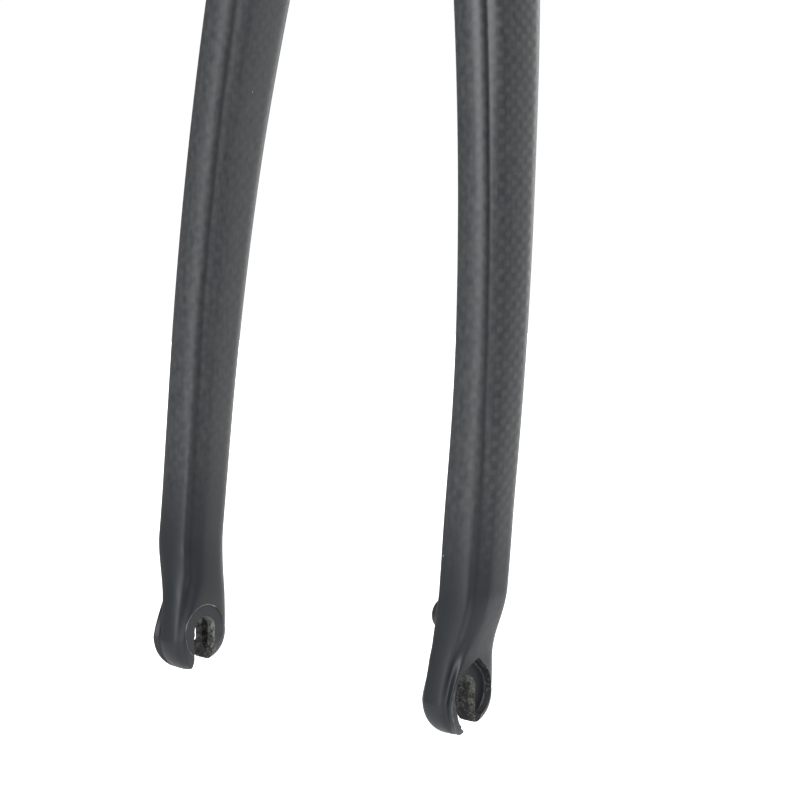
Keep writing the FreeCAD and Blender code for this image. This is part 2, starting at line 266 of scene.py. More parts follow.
def section_side(side):
    """Distances across and back of one side's columns, 1 for outboard and -1 for inboard. The strip and the
    rear are arcs, the groove is a straight line less a squared sine that is skewed towards the strip, the band
    is straight, and the flank is the parabola through the shoulder, the widest point and the rear corner."""
    form_of, half_key = (outboard_form, "half_out") if side > 0 else (inboard_form, "half_in")
    half, deep, heel, high, height = (rows[key][:, None] for key in (half_key, "deep", "heel", "high", "h"))
    form = form_of(half, deep, heel, height)
    ridge, camber, shoulder, setback = (form[key] for key in ("ridge", "camber", "shoulder", "setback"))
    step_across, step_back = (shoulder - ridge) * form["groove_across"], (setback - camber) * form["groove_back"]
    sink = form["sink"] * (1 - high) / np.hypot(step_across, step_back)

    def steps(name):
        return np.arange(1, columns[name] + 1)[None, :] / columns[name]

    across, fall = arc_to_middle(ridge, camber, steps("strip"))
    parts = [(np.zeros_like(deep), -deep), (across, fall - deep)]
    t = steps("groove")
    dip = sink * np.sin(np.pi * t ** form["skew"]) ** 2
    parts.append((ridge + step_across * t - dip * step_back, camber + step_back * t + dip * step_across - deep))
    t = steps("band")
    parts.append((mix(ridge + step_across, shoulder, t), mix(camber + step_back, setback, t) - deep))
    t = steps("flank")
    first, middle, last = 2 * t * t - 3 * t + 1, 4 * t - 4 * t * t, 2 * t * t - t
    parts.append((shoulder * first + (half + form["thinner"]) / 2 * middle + form["corner"] * last,
                  (setback - deep) * first + form["corner_back"] * last))
    across, fall = arc_to_middle(form["corner"], deep - form["corner_back"], 1 - steps("rear"))
    parts.append((across, deep - fall))
    across, back = (np.concatenate(values, axis=1) for values in zip(*parts))
    return side * across, back


across, back = (soften(np.concatenate([inner[:, :0:-1], outer[:, :-1]], axis=1), soft_passes)
                for inner, outer in zip(section_side(-1), section_side(1)))
front = sum(columns.values())
print("columns round each section:", across.shape[1], "- the front centre is column", front)

# %% [markdown]
# Now the sections are set on their centres. At the nose the rows curl under and slope down towards the front
# lobe, which hangs lower. The right half is the mirror image, joined in the middle of the crown, so the legs and
# the crown are one closed skin.

# %% The body's grid
nose_slope_height, lobes_meet, lobe_shift = 14.0, 0.45, 0.45
rear_roundness, front_roundness = 0.6, 0.93
ease_from, ease_over = 45.0, 40.0


def set_sections():
    """Points of the left half: the centre plus the distance across along the row's tilt, and the distance
    back, both shrunk and sunk by the curl of the nose, whose rear lobe sits a little further out."""
    deep, tilt, curl = (rows[key][:, None] for key in ("deep", "tilt", "curl"))
    row_h = rows["h"][:, None]
    slope = 1 - smooth((row_h + rear_nose_drop) / nose_slope_height)
    ahead = 1 - smooth((back / deep + lobes_meet) / (2 * lobes_meet))
    lower = (front_nose_drop - rear_nose_drop) * ahead * slope
    sunk = lower + mix(rear_nose_radius, nose_radius, ahead) * np.sin(curl)
    x = rows["x"][:, None] + across * np.cos(tilt) + lobe_shift * np.sin(curl) ** 3 * (1 - 2 * ahead)
    shrink = np.cos(curl) ** mix(rear_roundness, front_roundness, ahead)
    y = lean * row_h + back * shrink * np.where(curl > 0, nose_radius / deep, 1.0)
    return stacked(x, y, row_h + across * np.sin(tilt) - sunk)


half_body = set_sections()
eased = half_body.copy()
for _ in range(soft_passes):
    eased[1:-1] = (eased[:-2] + 2 * eased[1:-1] + eased[2:]) / 4
half_body = mix(half_body, eased, smooth((rows["h"] - ease_from) / ease_over)[:, None, None])
half_body[-1, :, 0] = 0.0
other = half_body[-2::-1] * np.array([-1.0, 1.0, 1.0])
body_points = np.concatenate([half_body, other])
print("body grid:", body_points.shape[:2])


# %% [markdown]
# Every piece here is such a grid, so one function turns a grid into a mesh. A curve with a bevel makes a tube too,
# but it can't change its section from row to row.

# %% From a grid to a mesh
def ring_mesh(name, points, cloth=None, tube=False):
    """Closed mesh of a grid whose columns close on themselves: one face for each cell and one cap for each end,
    or with tube no caps, the last row being joined to the first. Faces are turned outwards by the sign of the
    enclosed volume. points are in millimetres from the axle, and cloth holds UV maps by name."""
    count, around = points.shape[:2]
    i, j = np.meshgrid(np.arange(count if tube else count - 1), np.arange(around), indexing="ij")
    here, there, nxt = i * around, (i + 1) % count * around, (j + 1) % around
    cells = np.stack([here + j, here + nxt, there + nxt, there + j], axis=-1).reshape(-1, 4)
    spots = points.reshape(-1, 3)
    a, b, c, d = (spots[cells[:, k]] for k in range(4))
    volume = np.sum(np.cross(b, c) * a) + np.sum(np.cross(c, d) * a)
    caps = [] if tube else [np.arange(around)[::-1], np.arange(around) + (count - 1) * around]
    for cap in caps:
        volume += np.sum(np.cross(spots[cap], spots[np.roll(cap, -1)]) * spots[cap].mean(axis=0))
    turned = volume < 0
    if turned:
        cells = cells[:, ::-1]
        caps = [cap[::-1] for cap in caps]
    mesh = bpy.data.meshes.new(name)
    mesh.from_pydata(to_frame(*spots.T).tolist(), [], cells.tolist() + [cap.tolist() for cap in caps])
    if cloth is not None:
        corners = ((i, j), (i, j + 1), (i + 1, j + 1), (i + 1, j))
        corner = np.stack([np.stack(pair, -1) for pair in corners], axis=2).reshape(-1, 4, 2)
        corner = corner[:, ::-1] if turned else corner
        for layer, values in cloth.items():
            uv = values[corner[..., 0], corner[..., 1]].reshape(-1, 2)
            uv = np.concatenate([uv, np.zeros((2 * around, 2))])
            mesh.uv_layers.new(name=layer).data.foreach_set("uv", uv.astype(np.float32).ravel())
    mesh.shade_smooth()
    return mesh


def add_object(name, data):
    """Object that shows the data, linked into the scene."""
    made = bpy.data.objects.new(name, data)
    bpy.context.scene.collection.objects.link(made)
    return made


# %% [markdown]
# The cloth follows the leg, so its pattern can't come from fixed coordinates. A UV map holds, in metres, how
# far along the leg and how far round from the front centre each point is, measured on the surface. A second map
# holds two shares: how much of a pale line the lip of the dropout gets, a painted highlight of its rounded edge,
# and how near a point is to the bottom of a groove, for the painted shade there.

# %% Cloth coordinates and the body's mesh
wrapped = np.concatenate([body_points, body_points[:, :1]], axis=1)
round_steps = np.linalg.norm(np.diff(wrapped, axis=1), axis=2)
round_length = np.concatenate([np.zeros((len(wrapped), 1)), np.cumsum(round_steps, axis=1)], axis=1)
round_length -= round_length[:, front:front + 1]
centres = body_points.mean(axis=1)
along = np.concatenate([[0.0], np.cumsum(np.linalg.norm(np.diff(centres, axis=0), axis=1))])
weave_map = stacked(along[:, None], round_length) / 1000

lip_columns, groove_columns, groove_bottom = 0.9, 3.5, 0.42
shoulder_column = front + columns["strip"] + columns["groove"] + columns["band"]
column = np.arange(wrapped.shape[1])[None, :]
heel_share = np.concatenate([rows["heel"], rows["heel"][-2::-1]])[:, None]
# pale line along the lip's shoulder: a painted highlight of its rounded edge, broken into rubbed patches in the
# shader
lip_rub_and_highlight = np.exp(-((column - shoulder_column) / lip_columns) ** 2) * smooth(heel_share * 1.6 - 0.6)
groove_middle = columns["strip"] + groove_bottom * columns["groove"]
# painted shade: a band along the bottom of each groove, darkened in the skin's shader
groove_shade_band = np.exp(-((np.abs(column - front) - groove_middle) / groove_columns) ** 2)
lip_and_groove_map = stacked(lip_rub_and_highlight, groove_shade_band)

body_mesh = ring_mesh("fork_body", body_points, dict(cloth=weave_map, wear=lip_and_groove_map))
body = add_object("fork_body", body_mesh)
print("fork body:", len(body_mesh.polygons), "faces")


# %% [markdown]
# A shader is a small network, so one helper adds a node, sets it up and links its inputs. Colours are written in
# hex, as a screen shows them, and one function turns them into the linear light that a shader wants.

# %% Colour and node helpers
def linear(hex_code):
    """sRGB hex to linear RGBA: the standard curve, a straight foot and a 2.4 power."""
    rgb = np.array([int(hex_code[k:k + 2], 16) for k in (1, 3, 5)]) / 255
    rgb = np.where(rgb <= 0.04045, rgb / 12.92, ((rgb + 0.055) / 1.055) ** 2.4)
    return (*rgb.tolist(), 1.0)


def fill(tree, node, inputs):
    """Give a node's inputs their values, or link them to other nodes' outputs."""
    for key, value in inputs.items():
        if isinstance(value, bpy.types.NodeSocket):
            tree.links.new(value, node.inputs[key])
        else:
            node.inputs[key].default_value = value


def add_node(tree, kind, inputs=None, **settings):
    """Add a shader node of a kind, apply its settings, and fill its inputs."""
    node = tree.nodes.new("ShaderNode" + kind)
    for key, value in settings.items():
        setattr(node, key, value)
    fill(tree, node, inputs or {})
    return node


def new_material(name):
    """Material with an empty network, its shader, and the place on the object in metres."""
    material = bpy.data.materials.new(name)
    material.use_nodes = True
    tree = material.node_tree
    tree.nodes.clear()
    shader = add_node(tree, "BsdfPrincipled")
    add_node(tree, "OutputMaterial", {"Surface": shader.outputs["BSDF"]})
    return material, tree, shader, add_node(tree, "TexCoord").outputs["Object"]


# %% [markdown]
# Sums, ramps, colour mixes and noise come back all the time. Each gets a short name, so a finish reads like
# a recipe. Shaders work in metres, and noise is given the real size of its features.

# %% Short names for common nodes
def maths(tree, operation, *values):
    """Result of a sum, product or other operation on numbers."""
    return add_node(tree, "Math", dict(enumerate(values)), operation=operation).outputs[0]


def product(tree, first, *others):
    """Product of all the values, multiplied one after the other."""
    for other in others:
        first = maths(tree, "MULTIPLY", first, other)
    return first


def vectors(tree, operation, *values):
    """Result of an operation on vectors, which for a length is a number."""
    node = add_node(tree, "VectorMath", dict(enumerate(values)), operation=operation)
    return node.outputs["Value" if operation == "LENGTH" else "Vector"]


def xyz(tree, vector):
    """The three coordinates of a vector."""
    return add_node(tree, "SeparateXYZ", {0: vector}).outputs[:]


def ramp(tree, value, start, end, low=0.0, high=1.0, kind="LINEAR"):
    """Low where the value is at start, high where it is at end, in a straight line or eased between them."""
    limits = {"Value": value, "From Min": start, "From Max": end, "To Min": low, "To Max": high}
    return add_node(tree, "MapRange", limits, interpolation_type=kind).outputs[0]


def blend(tree, share, first, second):
    """Colour that is a share of the way from the first to the second, each a hex value or a node's output."""
    first, second = (linear(c) if isinstance(c, str) else c for c in (first, second))
    inputs = {"Factor": share, "A": first, "B": second}
    return add_node(tree, "Mix", inputs, data_type="RGBA").outputs["Result"]


def noise(tree, vector, size, detail, roughness=0.5):
    """Cloudy pattern with features of a size in metres."""
    inputs = {"Vector": vector, "Scale": 1 / size, "Detail": detail, "Roughness": roughness}
    return add_node(tree, "TexNoise", inputs).outputs["Fac"]


def bump(tree, height, strength, distance):
    """Surface direction, tilted as if a height from 0 to 1 rose over a distance in metres."""
    inputs = {"Height": height, "Strength": strength, "Distance": distance}
    return add_node(tree, "Bump", inputs).outputs["Normal"]


# %% [markdown]
# The skin is plain-weave carbon cloth under a matt clear coat. A tow, the flat bundle of threads, is about 2 mm
# wide, and where it floats on top it catches more light than where it dives under. So the cloth is a faint
# checker of ovals, clearest on the outer flank. The product of two sines, one along the leg and one round it, is
# just that: positive on one set of cells and negative on the other. A fine mottle is drawn out along the leg.
# Towards the dropouts the cloth ends, and the surface is plain satin resin, darker and a little bluer.

# %% Woven skin: ovals of the cloth
tow_along, tow_round = 0.0021, 0.0025
cloth_start, cloth_full = 0.026, 0.068
flank_start, flank_full, faint_weave = 0.0085, 0.0115, 0.38
blotch_size, mottle_size, mottle_stretch = 0.006, 0.0016, 0.45

woven, tree, shader, place = new_material("clear_coated_carbon_cloth")
place_x, _, place_z = xyz(tree, place)
above_axle = maths(tree, "ADD", place_z, axle_to_crown / 1000)
cloth_share = ramp(tree, above_axle, cloth_start, cloth_full, kind="SMOOTHSTEP")
cloth_along, cloth_round, _ = xyz(tree, add_node(tree, "UVMap", uv_map="cloth").outputs["UV"])
waves = [maths(tree, "SINE", maths(tree, "MULTIPLY", length, np.pi / tow))
         for length, tow in ((cloth_along, tow_along), (cloth_round, tow_round))]
weave_cells = product(tree, *waves)
floats = ramp(tree, weave_cells, -0.1, 0.75, kind="SMOOTHSTEP")
outer_flank = ramp(tree, cloth_round, flank_start, flank_full, faint_weave, 1.0, kind="SMOOTHSTEP")
tow_light = product(tree, floats, noise(tree, place, blotch_size, 3.0), outer_flank)
mottle = noise(tree, vectors(tree, "MULTIPLY", place, (1.0, 1.0, mottle_stretch)), mottle_size, 4.0)
under_coat = blend(tree, ramp(tree, mottle, 0.3, 0.7), "#2e3135", "#3e4041")
skin_colour = blend(tree, cloth_share, "#1d2126", blend(tree, tow_light, under_coat, "#4d4f4e"))
print("cloth: one cell is", tow_along * 1000, "by", tow_round * 1000, "mm")

# %% [markdown]
# A used fork has small flaws. Dust is single light specks: a Voronoi pattern gives each cell of 11 mm one point,
# and some points get a speck of a few tenths of a millimetre. The ring where the hub was clamped is rubbed light.
# The lip and the front of the pocket's rim get pale lines too, painted highlights of their rounded edges broken
# into rubbed patches. The rim and the ring lie round the axle, so they are drawn at a distance from it. The ring
# is brightest where it ends, at the upper rear.

# %% Woven skin: specks, rubbed lines and painted edge highlights
speck_cell, speck_largest, patch_size = 0.011, 0.024, 0.0022
seat_face, lip_face, faint_rub_and_highlight = 0.0508, 0.0590, 0.28
seat_line_at, seat_line_width, arc_end = seat_radius + 0.12, 0.18, 5.7
rim_line_at, rim_line_width = pocket_radius + 0.2, 0.2

specks = add_node(tree, "TexVoronoi", {"Vector": place, "Scale": 1 / speck_cell})
speck_chance = xyz(tree, specks.outputs["Color"])[0]
speck_size = ramp(tree, speck_chance, 0.55, 1.0, 0.0, speck_largest)
speck = maths(tree, "LESS_THAN", specks.outputs["Distance"], speck_size)
rubbed_and_highlight_patches = ramp(tree, noise(tree, place, patch_size, 2.0), 0.30, 0.55)
from_axle = vectors(tree, "MULTIPLY_ADD", place, (0.0, 1000.0, 1000.0), (0.0, rake, axle_to_crown))
axle_reach = vectors(tree, "LENGTH", from_axle)
_, behind_axle, over_axle = xyz(tree, from_axle)
side_on = maths(tree, "ABSOLUTE", place_x)


def rubbed_and_highlight_line(middle, width, where):
    """Mask that is 1 within a width of a distance from the axle, in millimetres, in patches and on one face."""
    off = maths(tree, "ABSOLUTE", maths(tree, "SUBTRACT", axle_reach, middle))
    return product(tree, ramp(tree, off, width, 0.4 * width), rubbed_and_highlight_patches, where)


arc_share = product(tree, ramp(tree, behind_axle, 2.0, 5.4, 0.45, 1.0),
                    maths(tree, "LESS_THAN", behind_axle, arc_end), maths(tree, "LESS_THAN", side_on, seat_face))
rim_share = product(tree, ramp(tree, over_axle, 6.0, 2.0), maths(tree, "LESS_THAN", behind_axle, 0.0),
                    maths(tree, "GREATER_THAN", side_on, lip_face))
seat_line = rubbed_and_highlight_line(seat_line_at, seat_line_width, arc_share)
# pale line on the front of the pocket's rim: a painted highlight of the lip's rounded edge, in rubbed patches
rim_rub_and_highlight_line = rubbed_and_highlight_line(rim_line_at, rim_line_width, rim_share)
lip_rub_and_highlight_share, groove_share, _ = xyz(tree, add_node(tree, "UVMap", uv_map="wear").outputs["UV"])
# the lip's and the rim's pale lines are painted highlights, and the seat's ring is rubbed light
rubbed_and_highlight = maths(tree, "MAXIMUM", rim_rub_and_highlight_line, product(tree, lip_rub_and_highlight_share, rubbed_and_highlight_patches))
rubbed_and_highlight = maths(tree, "MAXIMUM", product(tree, rubbed_and_highlight, faint_rub_and_highlight), seat_line)
marks_and_highlights = maths(tree, "MAXIMUM", rubbed_and_highlight, speck)
print("worn lines at", seat_line_at, "and", rim_line_at, "mm from the axle")

# %% [markdown]
# The groove beside the strip is darkened along its bottom, as painted shade. The coat's gloss is uneven with the
# mottle, and the relief is the weave's own, a fraction of a tenth of a millimetre.

# %% Woven skin: colour, gloss and relief
groove_shade_strength, satin_extra, coat_ior, weave_relief = 0.45, 0.05, 1.5, 0.0002
# painted shade: the groove's bottom is blended towards near black
shaded = blend(tree, product(tree, groove_share, groove_shade_strength), skin_colour, "#101113")
gloss = maths(tree, "ADD", ramp(tree, mottle, 0.0, 1.0, 0.34, 0.52),
              ramp(tree, cloth_share, 0.0, 1.0, satin_extra, 0.0))
relief = product(tree, weave_cells, cloth_share, outer_flank)
fill(tree, shader, {"Base Color": blend(tree, marks_and_highlights, shaded, "#a4a5a3"),
                    "Roughness": gloss, "IOR": coat_ior, "Normal": bump(tree, relief, 0.12, weave_relief)})
print("woven skin:", len(tree.nodes), "nodes")

# %% [markdown]
# Where the slot is sawn, the laminate is raw: broken threads and chalky resin give light grains on black. The
# dense skins next to both faces are lighter than the middle, and the slot's mouth is dark. The raw faces outboard
# of the pocket's floor, the pocket's wall among them, are darkened as painted shade of the recess.

# %% Raw edge
grain_size, wall_middle, grain_relief = 0.0009, 0.0543, 0.0003
raw, tree, shader, place = new_material("raw_carbon_edge")
place_x, _, place_z = xyz(tree, place)
grain = noise(tree, place, grain_size, 4.0, roughness=0.7)
side_on = maths(tree, "ABSOLUTE", place_x)
from_middle = maths(tree, "ABSOLUTE", maths(tree, "SUBTRACT", side_on, wall_middle))
lightness = grain
for share in (ramp(tree, from_middle, 0.0012, 0.0034, -0.02, 0.06),
              # painted shade: raw faces outboard of the pocket's floor, in the recess, are darkened
              ramp(tree, side_on, pocket_floor / 1000, 0.0591, 0.0, -0.19),
              ramp(tree, place_z, -0.404, -0.394, -0.09, 0.02)):
    lightness = maths(tree, "ADD", lightness, share)
fill(tree, shader, {"Base Color": blend(tree, ramp(tree, lightness, 0.44, 0.72), "#1c1d1d", "#85867f"),
                    "Roughness": 0.6, "Normal": bump(tree, grain, 0.4, grain_relief)})
for material in (woven, raw):
    body_mesh.materials.append(material)
print("finishes of the body:", [m.name for m in body_mesh.materials])

# %% [markdown]
# The axle slot, the pocket behind the lip, the hub seat and the channel between the skins are milled or sawn
# after moulding, so they are cut here too, with Boolean modifiers. Each cutter is again a profile carried
# along a path. The slot's widens a little at both faces, which breaks the edge as a file would, and seeded noise
# makes the sawn walls uneven.

# %% Cutters for the slots
random = np.random.default_rng(11)
cutter_start, cutter_end = 36.0, 76.0
slot_rows = [cutter_start, 49.0, 49.8, 50.0, 50.12, 50.3, 50.6, 51.0, 51.5, 52.1, 52.7, 53.4, 54.0, 54.7, 55.3,
             56.0, 56.7, 57.3, 57.8, 58.1, 58.35, 58.5, 58.7, 59.3, 60.2, cutter_end]
wall_unevenness, wall_swelling, inner_edge, outer_edge = 0.07, 0.25, 50.3, 58.2
inner_mouth, outer_mouth, hook_reach, hook_x, hook_h = -10.6, -11.7, 2.3, 57.0, -9.6


def uneven(count, around, reach):
    """Smooth unevenness on a closed grid: seeded noise, averaged over its neighbours a few times."""
    grid = soften(random.normal(size=(count, around)), 2)
    return reach * grid / grid.std()


def slot_surface():
    """Slot walls: a half circle about the axle with straight sides. They are moved outwards by the broken edges at
    both faces and by the round mouth, and inwards by a low swelling and, on the front wall near the outer face,
    by the hooked tip of the lip."""
    x = np.array(slot_rows)[:, None]
    drop = np.concatenate([[-34.0, -20.0], np.linspace(-15.0, -0.3, 42)])
    turn = np.linspace(0.0, np.pi, 41)
    half, ones, none = slot_width / 2, np.ones_like(drop), np.zeros_like(drop)
    y = np.concatenate([half * ones, half * np.cos(turn), -half * ones])[None, :]
    h = np.concatenate([drop, half * np.sin(turn), drop[::-1]])[None, :]
    away_y = np.concatenate([ones, np.cos(turn), -ones])[None, :]
    away_h = np.concatenate([none, np.sin(turn), none])[None, :]
    in_front = (y < 0).astype(float)
    broken = np.clip(inner_edge - x, 0.0, 0.5) ** 2 / 0.8 + np.clip(x - outer_edge, 0.0, 0.6) ** 2 / 1.4
    inner_round = 1.3 * np.clip((inner_mouth - h) / 2.2, 0.0, 5.0) ** 2
    outer_round = 1.2 * np.clip((outer_mouth - h) / 0.8, 0.0, 6.0) ** 2.5
    front_round = mix(inner_round, outer_round, smooth((x - 51.0) / 6.0))
    mouth = mix(0.6 * inner_round, front_round, in_front)
    hook = in_front * smooth((x - hook_x) / 2.0) * smooth((hook_h - h) / 2.2)
    swelling = (wall_swelling * smooth((2.0 - h) / 3.0) + 0.1 * in_front * smooth((-h - 1.2) / 1.2)
                + hook_reach * hook + 0.35 * in_front * between(h, -1.6, -0.5, 2.4, 4.0) * fade(x, 51.0, 53.0))
    within = smooth((x - hub_seat) / 0.5) * smooth((pocket_floor - x) / 0.5)
    offset = broken + mouth - swelling + within * uneven(x.size, h.size, wall_unevenness)
    return stacked(x, y + offset * away_y, h + offset * away_h)


def cutter(name, points, materials, sides=(1.0, -1.0), split=0):
    """Cutter objects: the grid on the left and its mirror image on the right. Faces from row split on take the
    second finish."""
    made = []
    for mirror in sides:
        label = name + ("_left" if mirror > 0 else "_right")
        mesh = ring_mesh(label, points * np.array([mirror, 1.0, 1.0]))
        for material in materials:
            mesh.materials.append(material)
        if split:
            wall = np.zeros(len(mesh.polygons), dtype=np.int32)
            wall[split * points.shape[1]:-2] = 1
            mesh.polygons.foreach_set("material_index", wall)
        made.append(add_object(label, mesh))
    return made


slot_grid = slot_surface()
print("slot cutter grid:", slot_grid.shape[:2])

# %% [markdown]
# The pocket has a soft point at its top, a flat floor for the clamp and a small round where the wall meets the
# floor. At the foot of the lip, low in front, it is opened a little. The hub seat is a shallow disc.

# %% Cutters for the pocket and the hub seat
point_back, point_up, point_softness = 1.8, 10.9, 0.05
foot_turn, foot_width, foot_opening = np.radians(-152), np.radians(34), 1.2


def pocket_reach(turn):
    """Radius of the teardrop in a direction from the axle, 0 being up and positive to the rear: the circle, near
    the point the two tangents that meet in it, cut short at the very tip, and a little more at the lip's foot."""
    def off(aim):
        return np.abs((turn - aim + np.pi) % (2 * np.pi) - np.pi)

    limit = np.arccos(pocket_radius / np.hypot(point_back, point_up))
    away = off(np.arctan2(point_back, point_up))
    opened = foot_opening * (1 - smooth(off(foot_turn) / foot_width))
    return pocket_radius / np.cos(np.clip(limit - np.hypot(away, point_softness), 0.0, limit)) + opened


def turned_about_axle(x, radii):
    """Surface about the axle: a radius for each row, or for each row and direction."""
    return stacked(x, radii * np.sin(axle_turn), radii * np.cos(axle_turn))


axle_turn = full_turn(144)
pocket_x = pocket_floor + np.array([0.0, 0.01, 0.06, 0.18, 0.4, 0.8, 1.6, 2.4, 4.0, 18.0])[:, None]
pocket_offset = np.array([-1.1, -0.7, -0.42, -0.2, -0.05, 0.0, 0.03, 0.08, 0.15, 0.6])[:, None]
rough_wall = uneven(pocket_x.size, axle_turn.size, 0.05) * (pocket_x > pocket_floor + 0.3)
pocket_grid = turned_about_axle(pocket_x, pocket_reach(axle_turn) + pocket_offset + rough_wall)
seat_x = np.array([cutter_start, 49.2, 49.5, 49.62, 49.8, hub_seat])[:, None]
seat_grid = turned_about_axle(seat_x, seat_radius + np.array([0.3, 0.3, 0.25, 0.08, 0.0, 0.0])[:, None])
print("pocket and seat grids:", pocket_grid.shape[:2], seat_grid.shape[:2])

# %% [markdown]
# The channel is the gap between the two skins of the right dropout, open in the rear wall of its slot. It is a
# rounded box that gets narrower as it goes in.

# %% Cutter for the channel
channel_x, channel_h, channel_half_wide, channel_half_tall = 54.4, -2.0, 1.35, 5.0
channel_start, channel_length, channel_taper, box_power = 0.5, 6.9, 0.35, 0.6


def channel_surface():
    """Channel walls: a rounded box, the cosine and sine raised to a power, narrowed with a cube of the way in and
    made uneven."""
    turn = full_turn(56)
    y = np.linspace(channel_start, channel_start + channel_length, 10)[:, None]
    taper = 1 - channel_taper * ((y - channel_start) / channel_length) ** 3
    size = taper * (1 + uneven(y.size, turn.size, 0.08))
    x = channel_x + channel_half_wide * size * np.sign(np.cos(turn)) * np.abs(np.cos(turn)) ** box_power
    h = channel_h + channel_half_tall * size * np.sign(np.sin(turn)) * np.abs(np.sin(turn)) ** box_power
    return stacked(x, y, h)


cutters = cutter("seat_cutter", seat_grid, [woven])
cutters += cutter("pocket_cutter", pocket_grid, [woven, raw], split=4)
cutters += cutter("slot_cutter", slot_grid, [raw])
cutters += cutter("channel_cutter", channel_surface(), [raw], sides=(-1.0,))
print("cutters:", [piece.name for piece in cutters])

# %% [markdown]
# The collar on the crown is turned about the steerer axis, and it spreads to both sides in a fillet, where the
# real one is laminated over the arch. The socket for the steerer is a plain bore.

# %% Collar and socket
collar_top_radius, collar_foot_radius, collar_edge = 19.5, 20.9, 0.6
fillet_reach, fillet_top, fillet_height = 12.0, -7.0, 22.0
socket_radius, socket_foot, socket_top, collar_mean_radius = 16.2, -30.0, 6.0, 20.5


def turned_about_steerer(radii, heights, spread=0.0):
    """Surface about the steerer axis: radius and height above the race shoulder, row by row, and a spread that
    adds to the radius with the square of the cosine, which is sideways."""
    turn = full_turn(96)
    r, z = (np.asarray(values, float)[:, None] for values in (radii, heights))
    r = r + np.reshape(spread, (-1, 1)) * np.cos(turn) ** 2
    return stacked(r * np.cos(turn), rake + r * np.sin(turn), axle_to_crown + z)


collar_z = np.concatenate([np.linspace(socket_foot, -4.0, 27), [-2.5, -1.2, -collar_edge, -0.2, 0.0]])
collar_r = mix(collar_top_radius, collar_foot_radius, np.clip(-collar_z / crown_drop, 0.0, 1.0))
collar_r = collar_r - np.clip(collar_z + collar_edge, 0.0, collar_edge) ** 2 / collar_edge
fillet = fillet_reach * smooth((fillet_top - collar_z) / fillet_height) ** 1.5
collar_points = turned_about_steerer(collar_r, collar_z, spread=fillet)
collar_round = np.linspace(0.0, 2 * np.pi * collar_mean_radius, collar_points.shape[1] + 1)[None, :]
collar_cloth = stacked(collar_z[:, None], collar_round) / 1000
socket_points = turned_about_steerer([socket_radius, socket_radius], [socket_foot, socket_top])
turned_parts = []
for name, points, cloth in (("collar", collar_points, dict(cloth=collar_cloth)), ("socket", socket_points, None)):
    mesh = ring_mesh(name, points, cloth)
    mesh.materials.append(woven)
    turned_parts.append(add_object(name, mesh))
print("turned parts:", [piece.name for piece in turned_parts])

# %% [markdown]
# The modifiers join the collar, cut the rest, and are then turned into plain mesh, so no cutter stays in the
# scene.

# %% Join and cut
for piece, work in [(turned_parts[0], "UNION")] + [(c, "DIFFERENCE") for c in cutters + turned_parts[1:]]:
    modifier = body.modifiers.new(piece.name, "BOOLEAN")
    modifier.operation = work
    modifier.object = piece
    modifier.solver = "MANIFOLD"
cut_mesh = bpy.data.meshes.new_from_object(body.evaluated_get(bpy.context.evaluated_depsgraph_get()))
body.modifiers.clear()
body.data = cut_mesh
for piece in cutters + turned_parts:
    bpy.data.objects.remove(piece)
cut_mesh.name = "fork_body"
print("fork body after cutting:", len(cut_mesh.polygons), "faces,", len(cut_mesh.materials), "finishes")

# %% [markdown]
# Where two cuts graze each other they leave slivers without area, pairs of triangles that lie back to back, and
# tiny fins that hang on one edge, all stray faces in the mesh. Slivers are welded shut, and pairs and
# fins are taken out, so the skin is one closed surface.

# %% Clean the cut edges
weld, fin_area, crease = 2e-6, 1e-8, np.radians(38)
shell = bmesh.new()
shell.from_mesh(cut_mesh)
bmesh.ops.remove_doubles(shell, verts=shell.verts[:], dist=weld)
bmesh.ops.dissolve_degenerate(shell, edges=shell.edges[:], dist=weld)
bmesh.ops.triangulate(shell, faces=[face for face in shell.faces if len(face.verts) > 4])
by_corners = {}
for face in shell.faces:
    by_corners.setdefault(frozenset(face.verts), []).append(face)
pairs = [face for faces in by_corners.values() if len(faces) > 1 for face in faces]
bmesh.ops.delete(shell, geom=pairs, context="FACES")
fins = [face for face in shell.faces
        if any(edge.is_boundary for edge in face.edges) and face.calc_area() < fin_area]
bmesh.ops.delete(shell, geom=fins, context="FACES")
print("faces taken out:", len(pairs) + len(fins),
      "- edges that are not closed:", sum(not edge.is_manifold for edge in shell.edges))
shell.to_mesh(cut_mesh)
shell.free()
cut_mesh.set_sharp_from_angle(angle=crease)
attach(body, "root")
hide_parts("fork_moulding")

# %% [markdown]
# The steerer is a carbon tube whose fibres run lengthwise, sanded to a satin finish. Its foot is bonded into the
# crown, a raised seat carries the headset race, and the sawn top shows raw edge. It is a profile turned about
# the axis, inside and outside in one closed loop.

# %% Steerer
tube_radius, bore_radius, race_radius, race_height, tube_top = 14.3, 11.3, 15.0, 8.0, 265.0
steerer_profile = np.array([
    (bore_radius, socket_foot), (socket_radius, socket_foot), (socket_radius, -0.3), (15.9, 0.0), (15.15, 0.0),
    (race_radius, 0.15), (race_radius, 7.8), (14.95, race_height),
    *((tube_radius, z) for z in (8.7, 60.0, 130.0, 200.0, 264.1)),
    (14.22, 264.5), (14.0, 264.8), (13.6, tube_top), (12.0, tube_top), (11.6, 264.8), (11.38, 264.5),
    (bore_radius, 264.1), (bore_radius, 130.0)])
tube_mesh = ring_mesh("steerer", turned_about_steerer(steerer_profile[:, 0], steerer_profile[:, 1]), tube=True)
tube_mesh.set_sharp_from_angle(angle=np.radians(30))
steerer = add_object("steerer", tube_mesh)
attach(steerer, "root")
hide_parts("steerer_tube")
print("steerer:", len(tube_mesh.polygons), "faces")

# %% [markdown]
# The tube's fibres are noise, stretched a hundred times along it. A real filament is 0.007 mm, so bundles
# of 0.4 mm stand for them, and wider ones of 4 mm make the gloss uneven.

